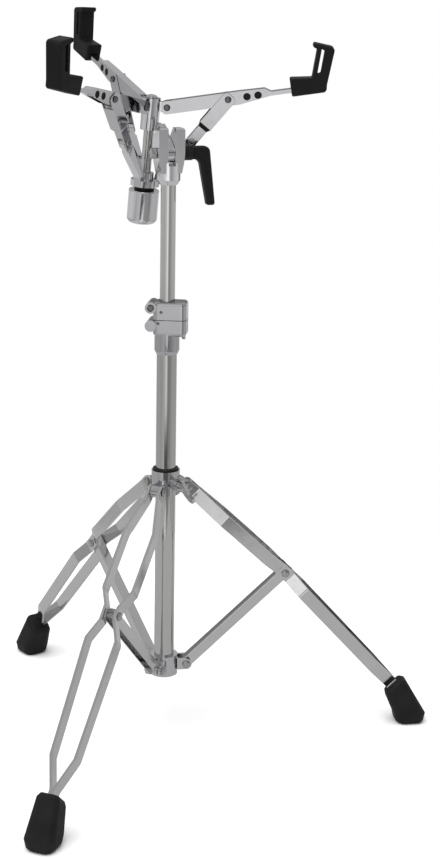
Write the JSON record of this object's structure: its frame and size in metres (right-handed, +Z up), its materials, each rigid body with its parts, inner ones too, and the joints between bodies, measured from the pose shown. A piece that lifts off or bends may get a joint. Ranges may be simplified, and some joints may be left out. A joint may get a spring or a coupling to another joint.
{
  "type": "snare drum stand",
  "caption": "Chrome snare drum stand with folding double-strip tripod, telescoping column, lever tilter and folding basket with black rubber tips.",
  "frame": {"origin": "on the column axis at floor level", "axes": "+Z up along the column, front towards -Y, lever side towards +X"},
  "size_m": [0.567, 0.6075, 0.9295],
  "materials": {
    "chrome_tube": "polished chrome plate on steel tube",
    "chrome_strip": "polished chrome plate on flat steel",
    "chrome_casting": "polished chrome plate on castings",
    "plated_steel": "bright zinc plate",
    "black_rubber": "moulded matt rubber",
    "black_handle": "moulded satin black",
    "black_nylon": "moulded nylon"
  },
  "bodies": {
    "base": {"base_tube": "chrome_tube", "brace_collar": "chrome_casting", "brace_collar_pins": "plated_steel", "height_clamp": "chrome_casting", "clamp_bushing": "black_nylon"},
    "brace_right": {"brace_right": "chrome_strip"},
    "leg_right": {"leg_right_left_strip": "chrome_strip", "leg_right_right_strip": "chrome_strip", "foot_right": "black_rubber", "leg_right_pin": "plated_steel"},
    "brace_rear": {"brace_rear": "chrome_strip"},
    "leg_rear": {"leg_rear_left_strip": "chrome_strip", "leg_rear_right_strip": "chrome_strip", "foot_rear": "black_rubber", "leg_rear_pin": "plated_steel"},
    "brace_front": {"brace_front": "chrome_strip"},
    "leg_front": {"leg_front_left_strip": "chrome_strip", "leg_front_right_strip": "chrome_strip", "foot_front": "black_rubber", "leg_front_pin": "plated_steel"},
    "leg_collar": {"leg_collar": "chrome_casting", "leg_collar_bushing": "black_nylon", "leg_collar_pins": "plated_steel"},
    "leg_wing": {"leg_wing_bolt": "chrome_casting"},
    "clamp_wing": {"clamp_wing_bolt": "chrome_casting"},
    "lock": {"memory_lock": "chrome_casting"},
    "lock_screw": {"memory_lock_screw": "plated_steel"},
    "column": {"upper_tube": "chrome_tube", "tilter_body": "chrome_casting"},
    "lever": {"tilter_lever": "black_handle", "tilter_bolt": "plated_steel"},
    "neck": {"tilter_neck": "chrome_casting", "basket_hub": "chrome_casting", "basket_shaft": "chrome_tube", "hub_cap": "chrome_casting", "hub_pins": "plated_steel"},
    "arm_right": {"basket_arm_right": "chrome_casting", "arm_insert_right": "black_nylon", "basket_tip_right": "black_rubber", "arm_right_pin": "plated_steel"},
    "strut_right": {"strut_right": "chrome_casting", "strut_right_rivets": "plated_steel"},
    "arm_rear": {"basket_arm_rear": "chrome_casting", "arm_insert_rear": "black_nylon", "basket_tip_rear": "black_rubber", "arm_rear_pin": "plated_steel"},
    "strut_rear": {"strut_rear": "chrome_casting", "strut_rear_rivets": "plated_steel"},
    "arm_front": {"basket_arm_front": "chrome_casting", "arm_insert_front": "black_nylon", "basket_tip_front": "black_rubber", "arm_front_pin": "plated_steel"},
    "strut_front": {"strut_front": "chrome_casting", "strut_front_rivets": "plated_steel"},
    "spider": {"spider": "chrome_casting", "spider_washer": "black_nylon"},
    "nut": {"basket_nut": "chrome_casting"}
  },
  "joints": [
    {"name": "tripod_fold", "type": "hinge", "parent": "base", "child": "brace_right", "pos_m": [0.02777, 0.00356, 0.09488], "axis": [0.1271, -0.9919, 0], "range_deg": [0, 40]},
    {"name": "leg_right_fold", "type": "hinge", "parent": "brace_right", "child": "leg_right", "pos_m": [0.15426, 0.01976, 0.21297], "axis": [0.1271, -0.9919, 0], "range_deg": [-80, 0]},
    {"name": "brace_rear_fold", "type": "hinge", "parent": "base", "child": "brace_rear", "pos_m": [-0.01697, 0.02227, 0.09488], "axis": [0.7955, 0.606, 0], "range_deg": [0, 40]},
    {"name": "leg_rear_fold", "type": "hinge", "parent": "brace_rear", "child": "leg_rear", "pos_m": [-0.09424, 0.12371, 0.21297], "axis": [0.7955, 0.606, 0], "range_deg": [-80, 0]},
    {"name": "brace_front_fold", "type": "hinge", "parent": "base", "child": "brace_front", "pos_m": [-0.01081, -0.02583, 0.09488], "axis": [-0.9225, 0.3859, 0], "range_deg": [0, 40]},
    {"name": "leg_front_fold", "type": "hinge", "parent": "brace_front", "child": "leg_front", "pos_m": [-0.06002, -0.14347, 0.21297], "axis": [-0.9225, 0.3859, 0], "range_deg": [-80, 0]},
    {"name": "leg_collar_lift", "type": "hinge", "parent": "leg_right", "child": "leg_collar", "pos_m": [0.02777, 0.00356, 0.33106], "axis": [0.1271, -0.9919, 0], "range_deg": [0, 40]},
    {"name": "leg_wing_turn", "type": "hinge", "parent": "leg_collar", "child": "leg_wing", "pos_m": [0, 0, 0.33756], "axis": [0.606, -0.7955, 0], "range_deg": [-90, 90]},
    {"name": "clamp_wing_turn", "type": "hinge", "parent": "base", "child": "clamp_wing", "pos_m": [0.0176, -0.00185, 0.53763], "axis": [0.1045, 0.9945, 0], "range_deg": [-90, 90]},
    {"name": "height_slide", "type": "slide", "parent": "base", "child": "lock", "axis": [0, 0, 1], "range_m": [0, 0.12]},
    {"name": "lock_screw_turn", "type": "hinge", "parent": "lock", "child": "lock_screw", "pos_m": [-0.0189, 0.00199, 0.56344], "axis": [-0.1045, -0.9945, 0], "range_deg": [-90, 90]},
    {"name": "column_turn", "type": "hinge", "parent": "lock", "child": "column", "pos_m": [0, 0, 0.54868], "axis": [0, 0, 1], "continuous": true},
    {"name": "lever_swing", "type": "hinge", "parent": "column", "child": "lever", "pos_m": [0, 0, 0.75569], "axis": [0.9397, 0.342, 0], "range_deg": [-40, 40]},
    {"name": "basket_tilt", "type": "hinge", "parent": "column", "child": "neck", "pos_m": [0, 0, 0.75569], "axis": [0.9397, 0.342, 0], "range_deg": [-5, 35]},
    {"name": "basket_close", "type": "hinge", "parent": "neck", "child": "arm_right", "pos_m": [-0.00336, 0.029, 0.81015], "axis": [-0.0064, -0.9965, -0.0834], "range_deg": [0, 33]},
    {"name": "strut_right_swing", "type": "hinge", "parent": "arm_right", "child": "strut_right", "pos_m": [0.07237, 0.02756, 0.82154], "axis": [-0.0064, -0.9965, -0.0834], "range_deg": [-13.95, 0.5]},
    {"name": "arm_rear_close", "type": "hinge", "parent": "neck", "child": "arm_rear", "pos_m": [-0.03316, 0.04626, 0.8139], "axis": [0.8667, 0.4982, -0.0247], "range_deg": [0, 33]},
    {"name": "strut_rear_swing", "type": "hinge", "parent": "arm_rear", "child": "strut_rear", "pos_m": [-0.06864, 0.10923, 0.83927], "axis": [0.8667, 0.4982, -0.0247], "range_deg": [-13.95, 0.5]},
    {"name": "arm_front_close", "type": "hinge", "parent": "neck", "child": "arm_front", "pos_m": [-0.03338, 0.01174, 0.81101], "axis": [-0.8603, 0.4982, 0.1082], "range_deg": [0, 33]},
    {"name": "strut_front_swing", "type": "hinge", "parent": "arm_front", "child": "strut_front", "pos_m": [-0.06969, -0.05411, 0.8256], "axis": [-0.8603, 0.4982, 0.1082], "range_deg": [-13.95, 0.5]},
    {"name": "spider_lift", "type": "slide", "parent": "neck", "child": "spider", "axis": [0.0764, -0.0837, 0.9936], "range_m": [0, 0.02806]},
    {"name": "nut_turn", "type": "hinge", "parent": "spider", "child": "nut", "pos_m": [-0.03324, 0.03988, 0.68252], "axis": [0.0764, -0.0837, 0.9936], "continuous": true}
  ],
  "couplings": [
    {"joint": "leg_right_fold", "follows": "tripod_fold", "ratio": -2},
    {"joint": "brace_rear_fold", "follows": "tripod_fold", "ratio": 1},
    {"joint": "leg_rear_fold", "follows": "tripod_fold", "ratio": -2},
    {"joint": "brace_front_fold", "follows": "tripod_fold", "ratio": 1},
    {"joint": "leg_front_fold", "follows": "tripod_fold", "ratio": -2},
    {"joint": "leg_collar_lift", "follows": "tripod_fold", "ratio": 1},
    {"joint": "strut_right_swing", "follows": "basket_close", "ratio": -0.4076},
    {"joint": "arm_rear_close", "follows": "basket_close", "ratio": 1},
    {"joint": "strut_rear_swing", "follows": "basket_close", "ratio": -0.4076},
    {"joint": "arm_front_close", "follows": "basket_close", "ratio": 1},
    {"joint": "strut_front_swing", "follows": "basket_close", "ratio": -0.4076},
    {"joint": "spider_lift", "follows": "basket_close", "m_per_rad": 0.047851}
  ]
}
